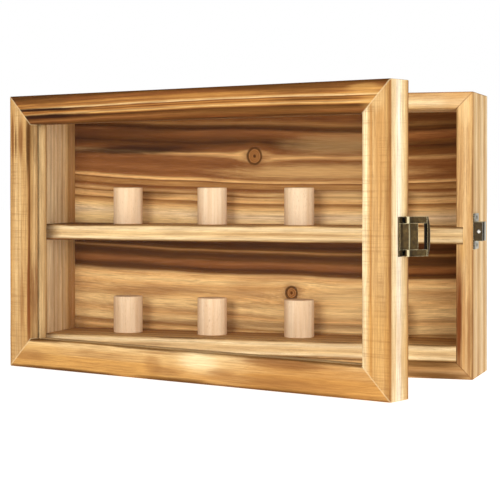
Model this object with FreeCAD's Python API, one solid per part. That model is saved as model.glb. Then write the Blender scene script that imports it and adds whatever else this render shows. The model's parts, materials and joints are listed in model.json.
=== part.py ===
import FreeCAD, Part
import math
import os

Vector = FreeCAD.Vector

# A wooden case with two rows of finger-ring pegs behind a hinged, glazed door.
# Millimetres.  +X is to the right, +Y to the back, +Z up.  The origin is the
# centre of the case's bottom face.  Door pieces are drawn shut and then swung
# open to the rest pose.

# Case
CASE_WIDTH = 302.0
CASE_HEIGHT = 180.0
CASE_DEPTH = 55.0
WALL = 10.5
BACK_THICKNESS = 5.5
BACK_REBATE = 5.0
SHELF_THICKNESS = 10.5
UPPER_SHELF_TOP = 95.2
DADO_DEPTH = 4.2
BRAD_RADIUS = 0.6
BRAD_HEAD_RADIUS = 1.1
BRAD_HEAD_HEIGHT = 0.6
BRAD_LENGTH = 14.0
BRAD_INSET = 2.5
BRAD_SIDE_HEIGHTS = (45.0, 135.0)

# Ring pegs: turned dowels with a round tenon in the shelf
PEGS_PER_ROW = 4
PEG_PITCH = 61.0
PEG_RADIUS = 9.9
PEG_HEIGHT = 24.8
PEG_EDGE = 0.6
PEG_SETBACK = 28.0
TENON_RADIUS = 6.0
TENON_LENGTH = 6.0

# Door: square-section frame, rebated from behind for the pane and its beads
DOOR_STOCK = 19.0
DOOR_CLEARANCE = 0.4
DOOR_RAISE = 0.5
DOOR_HEIGHT = 180.5
DOOR_REST_ANGLE = 20.0
LIP_DEPTH = 7.2
REBATE_WIDTH = 3.5
PANE_THICKNESS = 2.0
PANE_CLEARANCE = 0.25
BEAD_DEPTH = 6.1

# Butt hinges on the left side
HINGE_HEIGHTS = {"lower": 30.0, "upper": 150.0}
HINGE_HEIGHT = 22.0
HINGE_LEAF_WIDTH = 12.5
HINGE_LEAF_THICKNESS = 1.0
HINGE_AXIS_OFFSET = 2.0
KNUCKLE_RADIUS = 1.6
HINGE_PIN_RADIUS = 0.8
KNUCKLE_GAP = 0.3
PIN_CLEARANCE = 0.06
HINGE_PIN_HEAD = 0.6
HINGE_NAIL_SPREAD = 13.0

# Round-headed nails of the hinges and the latch
NAIL_RADIUS = 0.7
NAIL_HEAD_RADIUS = 1.5
NAIL_HEAD_HEIGHT = 0.45
NAIL_LENGTH = 6.5

# Loop latch on the door's right side, and its keeper on the case
LATCH_CENTRE_Z = 92.7
LATCH_HEIGHT = 22.4
LATCH_SHEET = 0.8
LATCH_FRONT_INSET = 7.6
LATCH_REAR_INSET = 0.4
LATCH_PIN_FROM_REAR = 5.2
LATCH_PIN_OFFSET = 2.2
LATCH_PIN_RADIUS = 0.9
CURL_RADIUS = 1.75
STRAP_HEIGHT = 13.5
TAB_LENGTH = 6.9
LOOP_REST_ANGLE = 25.0
LOOP_THICKNESS = 1.2
LOOP_ARM = 3.7
LOOP_WINDOW_END = 11.6
LOOP_CORNER_LENGTH = 14.0
LOOP_LENGTH = 15.7
LOOP_BAR_LIP = 0.4
SLOT_FRONT = 3.5
SLOT_REAR = 3.6
LATCH_NAIL_FORWARD = 3.0
LATCH_NAIL_SPREAD = 6.0
KEEPER_FRONT_INSET = 0.6
KEEPER_DEPTH = 16.4
KEEPER_HEIGHT = 22.4
CATCH_HEIGHT = 12.0
CATCH_PROUD = 5.6
CATCH_SLOPE = 1.3
CATCH_ROUND = 0.5
NOTCH_FLOOR = 1.1
NOTCH_CLEARANCE = 0.35
KEEPER_NAIL_BACK = 9.2
KEEPER_NAIL_SPREAD = 17.4

# Modelling allowances: how far a cutter runs past a face, and how alike two heights are
OVERSHOOT = 1.0
SAME_HEIGHT = 0.01

# Derived places
HALF_WIDTH = CASE_WIDTH / 2
CASE_FRONT = -CASE_DEPTH / 2
CASE_REAR = CASE_DEPTH / 2
INNER_HALF_WIDTH = HALF_WIDTH - WALL
PANEL_FRONT = CASE_REAR - BACK_THICKNESS
DOOR_REAR = CASE_FRONT - DOOR_CLEARANCE
DOOR_FRONT = DOOR_REAR - DOOR_STOCK
DOOR_TOP = DOOR_RAISE + DOOR_HEIGHT
HINGE_X = -HALF_WIDTH - HINGE_AXIS_OFFSET
HINGE_Y = (CASE_FRONT + DOOR_REAR) / 2
LATCH_PIN_X = HALF_WIDTH + LATCH_PIN_OFFSET
LATCH_PIN_Y = DOOR_REAR - LATCH_PIN_FROM_REAR
LATCH_LOW = LATCH_CENTRE_Z - LATCH_HEIGHT / 2
LATCH_HIGH = LATCH_CENTRE_Z + LATCH_HEIGHT / 2
LOWER_SHELF_TOP = WALL + SHELF_THICKNESS


def block(x0, x1, y0, y1, z0, z1):
    return Part.makeBox(x1 - x0, y1 - y0, z1 - z0, Vector(x0, y0, z0))


def post(x, y, z0, z1, radius):
    return Part.makeCylinder(radius, z1 - z0, Vector(x, y, z0))


def prism(points, travel):
    """A solid from a closed outline of straight edges, pushed along travel."""
    return Part.Face(Part.makePolygon(points + points[:1])).extrude(travel)


def prism_xy(points, z0, z1):
    return prism([Vector(x, y, z0) for x, y in points], Vector(0, 0, z1 - z0))


def prism_xz(points, y0, y1):
    return prism([Vector(x, y0, z) for x, z in points], Vector(0, y1 - y0, 0))


def mitred_frame(outer, width, y0, y1):
    """Four mitred members of one section around the rectangle outer."""
    x0, x1, z0, z1 = outer
    a0, a1, b0, b1 = x0 + width, x1 - width, z0 + width, z1 - width
    outlines = {
        "top": [(x0, z1), (x1, z1), (a1, b1), (a0, b1)],
        "bottom": [(x0, z0), (x1, z0), (a1, b0), (a0, b0)],
        "left": [(x0, z0), (x0, z1), (a0, b1), (a0, b0)],
        "right": [(x1, z0), (x1, z1), (a1, b1), (a1, b0)],
    }
    return {side: prism_xz(points, y0, y1) for side, points in outlines.items()}


def cut_all(shape, tools):
    """The shape less every tool that reaches it."""
    for tool in tools:
        if shape.BoundBox.intersect(tool.BoundBox):
            shape = shape.cut(tool)
    return shape


def nail(place, into, head_radius=NAIL_HEAD_RADIUS, head_height=NAIL_HEAD_HEIGHT,
         radius=NAIL_RADIUS, length=NAIL_LENGTH):
    """A nail with a domed head that sits on the surface at place."""
    shank = Part.makeCylinder(radius, length, place, into)
    # the head is a cap of a sphere, head_radius wide and head_height tall
    ball_radius = (head_radius ** 2 + head_height ** 2) / (2 * head_height)
    depth = ball_radius - head_height
    latitude = math.degrees(math.asin(depth / ball_radius))
    head = Part.makeSphere(ball_radius, place + into * depth, -into, latitude, 90, 360)
    return shank.fuse(head).removeSplitter()


def swing_open(shape):
    """Turn a door piece from shut to the rest pose."""
    turned = shape.copy()
    turned.rotate(Vector(HINGE_X, HINGE_Y, 0), Vector(0, 0, 1), -DOOR_REST_ANGLE)
    return turned


def side_nails(x, into, places):
    """Nails driven along X into the side at x, at each (y, z)."""
    return [nail(Vector(x, y, z), into) for y, z in places]


def pegs():
    """Each ring peg, by name, standing on its shelf with its tenon below."""
    made = {}
    first = -PEG_PITCH * (PEGS_PER_ROW - 1) / 2
    y = CASE_FRONT + PEG_SETBACK
    for row, top in (("upper", UPPER_SHELF_TOP), ("lower", LOWER_SHELF_TOP)):
        for index in range(PEGS_PER_ROW):
            x = first + index * PEG_PITCH
            body = post(x, y, top, top + PEG_HEIGHT, PEG_RADIUS)
            rim = [edge for edge in body.Edges
                   if abs(edge.BoundBox.ZMin - top - PEG_HEIGHT) < SAME_HEIGHT
                   and edge.BoundBox.ZLength < SAME_HEIGHT]
            body = body.makeChamfer(PEG_EDGE, rim)
            tenon = post(x, y, top - TENON_LENGTH, top, TENON_RADIUS)
            made["peg_%s_%d" % (row, index + 1)] = body.fuse(tenon)
    return made


def row_of(ring_pegs, row):
    return [peg for name, peg in ring_pegs.items() if row in name]


def shelf(top, reach, tenons):
    """A shelf bored for its tenons, which reaches into the side walls by reach."""
    half = INNER_HALF_WIDTH + reach
    board = block(-half, half, CASE_FRONT, PANEL_FRONT, top - SHELF_THICKNESS, top)
    return cut_all(board, tenons)


def back_brads():
    """Brads through the back panel's margin into the walls."""
    x = INNER_HALF_WIDTH + BRAD_INSET
    low = WALL - BRAD_INSET
    high = CASE_HEIGHT - low
    places = [(across * x / 2, z) for z in (low, high) for across in (-1, 0, 1)]
    places += [(side * x, z) for side in (-1, 1) for z in BRAD_SIDE_HEIGHTS]
    into = Vector(0, -1, 0)
    return [nail(Vector(px, CASE_REAR, pz), into, BRAD_HEAD_RADIUS, BRAD_HEAD_HEIGHT,
                 BRAD_RADIUS, BRAD_LENGTH) for px, pz in places]


def case_parts(hardware_nails):
    """Walls, back panel, shelves and pegs of the case."""
    outer = (-HALF_WIDTH, HALF_WIDTH, 0, CASE_HEIGHT)
    walls = mitred_frame(outer, WALL, CASE_FRONT, CASE_REAR)
    ring_pegs = pegs()
    brads = back_brads()
    half = INNER_HALF_WIDTH + BACK_REBATE
    low = WALL - BACK_REBATE
    panel = block(-half, half, PANEL_FRONT, CASE_REAR, low, CASE_HEIGHT - low)
    upper = shelf(UPPER_SHELF_TOP, DADO_DEPTH, row_of(ring_pegs, "upper"))
    lower = shelf(LOWER_SHELF_TOP, 0, row_of(ring_pegs, "lower"))
    made = {"upper_shelf": upper, "lower_shelf": lower}
    for side, wall in walls.items():
        wall = wall.cut(panel)
        if side in ("left", "right"):
            dado = shelf(UPPER_SHELF_TOP, DADO_DEPTH, [])
            wall = wall.cut(dado)
        made["case_" + side] = cut_all(wall, brads + hardware_nails)
    made["back_panel"] = cut_all(panel, brads)
    made["back_brads"] = Part.makeCompound(brads)
    made.update(ring_pegs)
    return made


def door_parts(hardware_nails):
    """Frame members, pane and glazing beads of the door, drawn shut."""
    outer = (-HALF_WIDTH, HALF_WIDTH, DOOR_RAISE, DOOR_TOP)
    members = mitred_frame(outer, DOOR_STOCK, DOOR_FRONT, DOOR_REAR)
    inset = DOOR_STOCK - REBATE_WIDTH
    rebate_edge = (outer[0] + inset, outer[1] - inset, outer[2] + inset, outer[3] - inset)
    lip_back = DOOR_FRONT + LIP_DEPTH
    rebate = block(rebate_edge[0], rebate_edge[1], lip_back, DOOR_REAR,
                   rebate_edge[2], rebate_edge[3])
    names = {"top": "door_top_rail", "bottom": "door_bottom_rail",
             "left": "door_left_stile", "right": "door_right_stile"}
    made = {}
    for side, member in members.items():
        made[names[side]] = cut_all(member.cut(rebate), hardware_nails)
    pane_back = lip_back + PANE_THICKNESS
    gap = PANE_CLEARANCE
    made["pane"] = block(rebate_edge[0] + gap, rebate_edge[1] - gap, lip_back, pane_back,
                         rebate_edge[2] + gap, rebate_edge[3] - gap)
    beads = mitred_frame(rebate_edge, REBATE_WIDTH, pane_back, pane_back + BEAD_DEPTH)
    for side, bead in beads.items():
        made["pane_bead_" + side] = bead
    return made


def hinge_knuckle(low, high, bore):
    ring = post(HINGE_X, HINGE_Y, low, high, KNUCKLE_RADIUS)
    return ring.cut(post(HINGE_X, HINGE_Y, low, high, bore))


def hinge_leaf(centre, direction, spans, bore):
    """A leaf on the left side, running along Y by direction, with its knuckles.

    spans lists the lowest and highest Z of each knuckle it carries.
    """
    low = centre - HINGE_HEIGHT / 2
    high = centre + HINGE_HEIGHT / 2
    # the leaf starts clear of the other leaf's knuckles and narrows to its own
    start = HINGE_Y + direction * (KNUCKLE_RADIUS + KNUCKLE_GAP)
    end = start + direction * HINGE_LEAF_WIDTH
    x0 = -HALF_WIDTH - HINGE_LEAF_THICKNESS
    leaf = block(x0, -HALF_WIDTH, min(start, end), max(start, end), low, high)
    edge = HINGE_Y + direction * (DOOR_CLEARANCE / 2)
    for z0, z1 in spans:
        neck = block(x0, -HALF_WIDTH, min(edge, start), max(edge, start), z0, z1)
        leaf = leaf.fuse(neck).fuse(hinge_knuckle(z0, z1, HINGE_PIN_RADIUS))
    # the pin's bore runs clear through every knuckle of the leaf
    leaf = leaf.cut(post(HINGE_X, HINGE_Y, low, high, bore))
    return leaf.removeSplitter()


def hinge_nail_places(centre, direction):
    y = HINGE_Y + direction * (KNUCKLE_RADIUS + KNUCKLE_GAP + HINGE_LEAF_WIDTH / 2)
    return [(y, centre + side * HINGE_NAIL_SPREAD / 2) for side in (-1, 1)]


def hinge_nails(direction):
    """All nails of the leaves on one side of the hinge line."""
    x = -HALF_WIDTH - HINGE_LEAF_THICKNESS
    made = []
    for centre in HINGE_HEIGHTS.values():
        made += side_nails(x, Vector(1, 0, 0), hinge_nail_places(centre, direction))
    return made


def hinges(case_nails, door_nails):
    """Case leaves, door leaves and pins; the door leaves are drawn shut."""
    fixed = {}
    moving = {}
    third = HINGE_HEIGHT / 3
    for level, centre in HINGE_HEIGHTS.items():
        low = centre - HINGE_HEIGHT / 2
        ends = [(low, low + third), (low + 2 * third, low + HINGE_HEIGHT)]
        middle = [(low + third + KNUCKLE_GAP, low + 2 * third - KNUCKLE_GAP)]
        case_leaf = hinge_leaf(centre, 1, ends, HINGE_PIN_RADIUS)
        door_leaf = hinge_leaf(centre, -1, middle, HINGE_PIN_RADIUS + PIN_CLEARANCE)
        fixed["hinge_leaf_case_" + level] = cut_all(case_leaf, case_nails)
        moving["hinge_leaf_door_" + level] = cut_all(door_leaf, door_nails)
        pin = post(HINGE_X, HINGE_Y, low, low + HINGE_HEIGHT, HINGE_PIN_RADIUS)
        for z in (low - HINGE_PIN_HEAD, low + HINGE_HEIGHT):
            pin = pin.fuse(post(HINGE_X, HINGE_Y, z, z + HINGE_PIN_HEAD, KNUCKLE_RADIUS))
        fixed["hinge_pin_" + level] = pin
    return fixed, moving


def latch_nails():
    """Nails of the latch's base, under its folded strap."""
    y = LATCH_PIN_Y - LATCH_NAIL_FORWARD
    heights = [LATCH_CENTRE_Z + side * LATCH_NAIL_SPREAD / 2 for side in (-1, 1)]
    surface = HALF_WIDTH + LATCH_SHEET
    return side_nails(surface, Vector(-1, 0, 0), [(y, z) for z in heights])


def latch_curl(z0, z1, bore):
    ring = post(LATCH_PIN_X, LATCH_PIN_Y, z0, z1, CURL_RADIUS)
    return ring.cut(post(LATCH_PIN_X, LATCH_PIN_Y, z0, z1, bore))


def lift_from_side(shape):
    """Turn a piece drawn along +Y from the pin to the latch's rest angle."""
    shape.rotate(Vector(LATCH_PIN_X, LATCH_PIN_Y, 0), Vector(0, 0, 1), -LOOP_REST_ANGLE)
    return shape


def latch_base(nails):
    """Base plate with slots for the loop's curls, and the strap over the pin."""
    front = DOOR_FRONT + LATCH_FRONT_INSET
    rear = DOOR_REAR - LATCH_REAR_INSET
    skin = HALF_WIDTH + LATCH_SHEET
    plate = block(HALF_WIDTH, skin, front, rear, LATCH_LOW, LATCH_HIGH)
    arm_gap = (LATCH_HEIGHT - STRAP_HEIGHT) / 2
    slot_y0 = LATCH_PIN_Y - SLOT_FRONT
    slot_y1 = LATCH_PIN_Y + SLOT_REAR
    for z0 in (LATCH_LOW, LATCH_HIGH - arm_gap):
        plate = plate.cut(block(HALF_WIDTH, skin, slot_y0, slot_y1, z0, z0 + arm_gap))
    strap_low = LATCH_CENTRE_Z - STRAP_HEIGHT / 2
    strap_high = LATCH_CENTRE_Z + STRAP_HEIGHT / 2
    crest = LATCH_PIN_X + CURL_RADIUS
    ramp = prism_xy([(HALF_WIDTH, front), (skin + LATCH_SHEET, front), (crest, LATCH_PIN_Y),
                     (crest - LATCH_SHEET, LATCH_PIN_Y), (skin, front + 2 * LATCH_SHEET),
                     (HALF_WIDTH, front + 2 * LATCH_SHEET)], strap_low, strap_high)
    tab = block(LATCH_PIN_X + CURL_RADIUS - LATCH_SHEET, LATCH_PIN_X + CURL_RADIUS,
                LATCH_PIN_Y, LATCH_PIN_Y + TAB_LENGTH, strap_low, strap_high)
    tab = lift_from_side(tab)
    base = plate.fuse(ramp).fuse(latch_curl(strap_low, strap_high, LATCH_PIN_RADIUS))
    base = base.fuse(tab)
    base = base.cut(post(LATCH_PIN_X, LATCH_PIN_Y, strap_low, strap_high, LATCH_PIN_RADIUS))
    return cut_all(base, nails).removeSplitter()


def latch_loop():
    """Flat loop with a window, two curls round the pin and a bowed outer bar."""
    pin_y = LATCH_PIN_Y
    half = LOOP_THICKNESS / 2
    x0 = LATCH_PIN_X - half
    low, high = LATCH_LOW, LATCH_HIGH
    corner_y = pin_y + LOOP_CORNER_LENGTH
    outline = [Part.makeLine(Vector(x0, pin_y, low), Vector(x0, corner_y, low)),
               Part.Arc(Vector(x0, corner_y, low),
                        Vector(x0, pin_y + LOOP_LENGTH, LATCH_CENTRE_Z),
                        Vector(x0, corner_y, high)).toShape(),
               Part.makeLine(Vector(x0, corner_y, high), Vector(x0, pin_y, high)),
               Part.makeLine(Vector(x0, pin_y, high), Vector(x0, pin_y, low))]
    sheet = Part.Face(Part.Wire(outline))
    plate = sheet.extrude(Vector(LOOP_THICKNESS, 0, 0))
    outer_bar = sheet.extrude(Vector(LOOP_THICKNESS + LOOP_BAR_LIP, 0, 0))
    bar_zone = block(x0, x0 + 2 * LOOP_THICKNESS, pin_y + LOOP_WINDOW_END,
                     pin_y + LOOP_LENGTH, low, high)
    loop = plate.fuse(outer_bar.common(bar_zone))
    window = block(x0 - OVERSHOOT, x0 + 2 * LOOP_THICKNESS, pin_y - CURL_RADIUS - OVERSHOOT,
                   pin_y + LOOP_WINDOW_END, low + LOOP_ARM, high - LOOP_ARM)
    loop = loop.cut(window)
    bore = LATCH_PIN_RADIUS + PIN_CLEARANCE
    for z0 in (low, high - LOOP_ARM):
        loop = loop.fuse(post(LATCH_PIN_X, pin_y, z0, z0 + LOOP_ARM, CURL_RADIUS))
    loop = loop.cut(post(LATCH_PIN_X, pin_y, low, high, bore))
    return lift_from_side(loop.removeSplitter())


def latch_pin():
    return post(LATCH_PIN_X, LATCH_PIN_Y, LATCH_LOW, LATCH_HIGH, LATCH_PIN_RADIUS)


def keeper_nails():
    y = CASE_FRONT + KEEPER_FRONT_INSET + KEEPER_NAIL_BACK
    heights = [LATCH_CENTRE_Z + side * KEEPER_NAIL_SPREAD / 2 for side in (-1, 1)]
    return side_nails(HALF_WIDTH + LATCH_SHEET, Vector(-1, 0, 0), [(y, z) for z in heights])


def keeper(nails):
    """Plate on the case's right side with a notched catch for the loop's bar."""
    front = CASE_FRONT + KEEPER_FRONT_INSET
    rear = front + KEEPER_DEPTH
    skin = HALF_WIDTH + LATCH_SHEET
    plate = block(HALF_WIDTH, skin, front, rear, LATCH_CENTRE_Z - KEEPER_HEIGHT / 2,
                  LATCH_CENTRE_Z + KEEPER_HEIGHT / 2)
    low = LATCH_CENTRE_Z - CATCH_HEIGHT / 2
    high = LATCH_CENTRE_Z + CATCH_HEIGHT / 2
    top = HALF_WIDTH + CATCH_PROUD
    catch = prism_xy([(HALF_WIDTH, front), (skin, front),
                      (top - CATCH_ROUND, front + CATCH_SLOPE),
                      (top, front + CATCH_SLOPE + CATCH_ROUND),
                      (top, rear - CATCH_ROUND), (top - CATCH_ROUND, rear),
                      (HALF_WIDTH, rear)], low, high)
    # the notch is what the bar sweeps as the loop turns, with some room
    outer = post(LATCH_PIN_X, LATCH_PIN_Y, low, high, LOOP_LENGTH + 2 * NOTCH_CLEARANCE)
    inner = post(LATCH_PIN_X, LATCH_PIN_Y, low, high, LOOP_WINDOW_END - NOTCH_CLEARANCE)
    above_floor = block(HALF_WIDTH + NOTCH_FLOOR, top + OVERSHOOT, front, rear, low, high)
    catch = catch.cut(outer.cut(inner).common(above_floor))
    return cut_all(plate.fuse(catch), nails).removeSplitter()


def build():
    case_hinge_nails = hinge_nails(1)
    door_hinge_nails = hinge_nails(-1)
    base_nails = latch_nails()
    strike_nails = keeper_nails()
    fixed_hinges, moving_hinges = hinges(case_hinge_nails, door_hinge_nails)
    fixed = case_parts(case_hinge_nails + strike_nails)
    fixed.update(fixed_hinges)
    fixed["hinge_nails_case"] = Part.makeCompound(case_hinge_nails)
    fixed["keeper"] = keeper(strike_nails)
    fixed["keeper_nails"] = Part.makeCompound(strike_nails)
    moving = door_parts(door_hinge_nails + base_nails)
    moving.update(moving_hinges)
    moving["hinge_nails_door"] = Part.makeCompound(door_hinge_nails)
    moving["latch_base"] = latch_base(base_nails)
    moving["latch_nails"] = Part.makeCompound(base_nails)
    moving["latch_pin"] = latch_pin()
    moving["latch_loop"] = latch_loop()
    return {**fixed, **{name: swing_open(shape) for name, shape in moving.items()}}


os.makedirs("parts", exist_ok=True)
for node, solid in build().items():
    solid.exportStep("parts/%s.step" % node)
print("sub-parts written:", len(os.listdir("parts")))
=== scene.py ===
import json
import math

import bmesh
import bpy
from mathutils import Matrix, Vector, noise


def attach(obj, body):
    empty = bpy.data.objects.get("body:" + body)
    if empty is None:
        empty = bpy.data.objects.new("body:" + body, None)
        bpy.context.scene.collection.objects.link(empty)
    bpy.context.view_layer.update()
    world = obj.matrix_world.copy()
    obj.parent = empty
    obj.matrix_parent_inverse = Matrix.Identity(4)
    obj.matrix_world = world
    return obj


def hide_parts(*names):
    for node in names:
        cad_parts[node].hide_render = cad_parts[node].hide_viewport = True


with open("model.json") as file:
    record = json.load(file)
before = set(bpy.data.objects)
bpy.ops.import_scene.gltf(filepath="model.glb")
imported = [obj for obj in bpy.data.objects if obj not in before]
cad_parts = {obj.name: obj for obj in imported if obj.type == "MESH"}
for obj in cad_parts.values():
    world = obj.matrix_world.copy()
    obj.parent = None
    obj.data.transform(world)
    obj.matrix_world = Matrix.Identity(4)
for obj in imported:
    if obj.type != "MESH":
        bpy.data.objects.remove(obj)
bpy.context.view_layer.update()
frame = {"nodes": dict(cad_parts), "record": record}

# A scorched-pine case for finger rings, with a glazed door that stands ajar.
# Boards are built in their own axes: X along the grain, Y across the face that
# shows, from the outer edge inwards, and Z back from the front face.  Their
# materials read the same axes, in millimetres.

MM = 0.001
ACROSS = {"top": Vector((0, 0, -1)), "bottom": Vector((0, 0, 1)),
          "left": Vector((1, 0, 0)), "right": Vector((-1, 0, 0))}
BACKWARD = Vector((0, 1, 0))

SHARP = math.radians(30)    # edges that turn by more are drawn sharp
EDGE = 0.55 * MM            # how far a board's long edges are eased
END_EASE = 0.22 * MM        # the same for its sawn ends
WEAR_RATE = 25.0            # how quickly that easing varies along the board
FACE_GAP = 1.6 * MM         # spacing of the points across a board's faces
STATION_GAP = 5.0 * MM      # spacing of a board's sections along its length
HOUSING_GAP = 0.12 * MM     # room left round a shelf end and a peg's tenon
HOUSING_RUN = 2.0 * MM      # how far a shelf's housing runs on past the shelf's front

TURNED_STEPS = 64           # points round a turned piece
PEG_TENON = 6.0 * MM        # radius of the tenon below a peg
TENON_EASE = 0.4 * MM       # chamfer of the tenon's end
PEG_FOOT = 0.25 * MM        # chamfer of the peg's lower edge
PEG_RIM = 0.7 * MM          # rounding of its upper edge

LATCH_SHEET = 0.8           # mm, thickness of the latch's plate
LATCH_BEHIND = 3.9          # mm that the plate reaches past the pin
LATCH_NOTCH = (-2.9, 3.4)   # mm behind the pin, where the notches beside the strap start and stop
STRAP_SHEET = 0.82          # mm, thickness of the strap along its middle
STRAP_THINNING = 0.22       # mm that it loses towards its sides
LATCH_ARM = 3.7             # mm, width of each arm of the loop
LOOP_SHEET = 0.75           # mm, thickness of those arms
LOOP_BOW = 1.5              # mm that the middle of the loop's bar stands further out
LATCH_LIFT = 25.0           # degrees that the loop stands out from the door's side
CATCH_HEIGHT = 12.0         # mm, height of the part of the keeper that stands out
KEEPER_DARK = 3.5           # mm behind the keeper's front that get no painted pale reflection
STUD_INSET = 2.1            # mm from the keeper's outer side to the middle of its stud


# ---------------- places

def door_rest():
    """The turn that carries the door from shut to the pose it rests in."""
    joint = next(j for j in frame["record"]["behaviour"]["joints"] if j["name"] == "door_hinge")
    pin = Vector(joint["pos_m"])
    turn = Matrix.Rotation(math.radians(joint["range_deg"][0]), 4, "Z")
    return Matrix.Translation(pin) @ turn @ Matrix.Translation(-pin)


SHUT = Matrix.Identity(4)
AJAR = door_rest()


def box_in(node, axes=SHUT):
    """A CAD node's lowest and highest corner, read in the given axes."""
    inverse = axes.inverted()
    points = [inverse @ vertex.co for vertex in frame["nodes"][node].data.vertices]
    low = Vector([min(p[i] for p in points) for i in range(3)])
    high = Vector([max(p[i] for p in points) for i in range(3)])
    return low, high


def middle_of(node, axes=SHUT):
    low, high = box_in(node, axes)
    return (low + high) / 2


class Place:
    """A board's own axes and size, read from the CAD node that it stands for."""

    def __init__(self, node, side, axes=SHUT):
        low, high = box_in(node, axes)
        across = ACROSS[side]
        along = across.cross(BACKWARD)
        span = high - low
        self.length = abs(span.dot(along))
        self.width = abs(span.dot(across))
        self.depth = span.y
        origin = (low + high) / 2 - across * self.width / 2
        origin.y = low.y
        turn = Matrix((along, across, BACKWARD)).transposed().to_4x4()
        self.matrix = axes @ Matrix.Translation(origin) @ turn


# ---------------- meshes

def add_object(name, data):
    made = bpy.data.objects.new(name, data)
    bpy.context.scene.collection.objects.link(made)
    return made


def finished(mesh, name, matrix=SHUT):
    """An object from a bmesh, smooth but for its sharp edges."""
    bmesh.ops.recalc_face_normals(mesh, faces=mesh.faces)
    data = bpy.data.meshes.new(name)
    mesh.to_mesh(data)
    mesh.free()
    data.polygons.foreach_set("use_smooth", [True] * len(data.polygons))
    data.set_sharp_from_angle(angle=SHARP)
    made = add_object(name, data)
    made.matrix_world = matrix
    return made


def inset_outline(corners, depth):
    """A square-cornered outline with every side moved inwards."""
    moved = []
    for i, corner in enumerate(corners):
        ahead = (corners[(i + 1) % len(corners)] - corner).normalized()
        behind = (corner - corners[i - 1]).normalized()
        inward = Vector((-ahead.y, ahead.x)) + Vector((-behind.y, behind.x))
        moved.append(corner + inward * depth)
    return moved


def eased_outline(corners, radii, counts):
    """Points round an outline, each corner rounded and each side split evenly."""
    points = []
    size = len(corners)
    for i, corner in enumerate(corners):
        ahead = (corners[(i + 1) % size] - corner).normalized()
        behind = (corners[i - 1] - corner).normalized()
        start = corner + behind * radii[i]
        end = corner + ahead * radii[i]
        for step in range(5):
            t = step / 4
            points.append(start * (1 - t) ** 2 + corner * 2 * t * (1 - t) + end * t ** 2)
        stop = corners[(i + 1) % size] - ahead * radii[(i + 1) % size]
        points += [end.lerp(stop, k / counts[i]) for k in range(1, counts[i])]
    return points


def skin(mesh, rings):
    """Faces from each ring of points to the next, and one across each end, which it gives."""
    for first, second in zip(rings, rings[1:]):
        for i in range(len(first)):
            j = (i + 1) % len(first)
            mesh.faces.new((first[i], first[j], second[j], second[i]))
    return [mesh.faces.new(rings[0][::-1]), mesh.faces.new(rings[-1])]


def board(name, place, corners, mitre, edge=EDGE, wear=0.5, seed=0.0):
    """A board whose section is the outline corners, anticlockwise in (Y, Z).

    mitre is how much shorter each end gets per unit of Y: 1 for a mitred
    member, 0 for a square end.
    """
    corners = [Vector(c) for c in corners]
    size = len(corners)
    sides = [(corners[(i + 1) % size] - corners[i]).length for i in range(size)]
    counts = [max(2, round(side / FACE_GAP)) for side in sides]
    steps = max(8, round(place.length / STATION_GAP))
    mesh = bmesh.new()
    rings = []
    for index in range(-1, steps + 2):
        at_end = index in (-1, steps + 1)
        share = 2 * min(max(index / steps, 0), 1) - 1
        drawn = inset_outline(corners, END_EASE) if at_end else corners
        spot = share * place.length * WEAR_RATE
        # i * 7.3 gives each long edge wear of its own
        radii = [edge * (1 + wear * noise.noise(Vector((spot, i * 7.3, seed)))) for i in range(size)]
        ring = []
        for y, z in eased_outline(drawn, radii, counts):
            reach = place.length / 2 - mitre * max(y, 0) - (0 if at_end else END_EASE)
            ring.append(mesh.verts.new((share * reach, y, z)))
        rings.append(ring)
    bmesh.ops.triangulate(mesh, faces=skin(mesh, rings), ngon_method="EAR_CLIP")
    return finished(mesh, name, place.matrix)


def rectangle(width, depth):
    return [(0, 0), (width, 0), (width, depth), (0, depth)]


def rebated(width, depth, rebate_width, rebate_depth):
    """A section with a rebate in its inner rear corner."""
    return [(0, 0), (width, 0), (width, depth - rebate_depth),
            (width - rebate_width, depth - rebate_depth), (width - rebate_width, depth), (0, depth)]


def turned(name, profile, centre, ragged=0.0):
    """A closed turning about Z from (radius, height) points, bottom to top.

    ragged is how much the radius varies, as a share of it.
    """
    mesh = bmesh.new()
    rings = []
    for radius, height in profile:
        ring = []
        for step in range(TURNED_STEPS):
            angle = math.tau * step / TURNED_STEPS
            direction = Vector((math.cos(angle), math.sin(angle), 0))
            rough = 1 + ragged * noise.noise(direction * 6 + Vector((0, 0, height * 900)) + centre * 400)
            ring.append(mesh.verts.new(centre + direction * radius * rough + Vector((0, 0, height))))
        rings.append(ring)
    skin(mesh, rings)
    return finished(mesh, name)


def cut(piece, *cutters):
    """Take the cutters out of the piece, and remove them."""
    for cutter in cutters:
        modifier = piece.modifiers.new("cut", "BOOLEAN")
        modifier.operation = "DIFFERENCE"
        modifier.solver = "EXACT"
        modifier.object = cutter
    bpy.context.view_layer.update()
    graph = bpy.context.evaluated_depsgraph_get()
    data = bpy.data.meshes.new_from_object(piece.evaluated_get(graph))
    piece.modifiers.clear()
    piece.data = data
    data.name = piece.name
    data.set_sharp_from_angle(angle=SHARP)
    for cutter in cutters:
        bpy.data.objects.remove(cutter)


def box_cutter(low, high):
    mesh = bmesh.new()
    bmesh.ops.create_cube(mesh, size=1)
    for vertex in mesh.verts:
        for i in range(3):
            vertex.co[i] = low[i] if vertex.co[i] < 0 else high[i]
    return finished(mesh, "cutter")


def pressed(name, outlines, matrix=SHUT, axes="XYZ"):
    """A piece drawn from (height, outline) pairs; axes names the outline's two axes and the height's."""
    mesh = bmesh.new()
    order = ["XYZ".index(letter) for letter in axes]
    rings = []
    for height, outline in outlines:
        ring = []
        for point in outline:
            place = [0.0, 0.0, 0.0]
            for axis, value in zip(order, (*point, height)):
                place[axis] = value
            ring.append(mesh.verts.new(place))
        rings.append(ring)
    bmesh.ops.triangulate(mesh, faces=skin(mesh, rings), ngon_method="EAR_CLIP")
    return finished(mesh, name, matrix)


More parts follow.
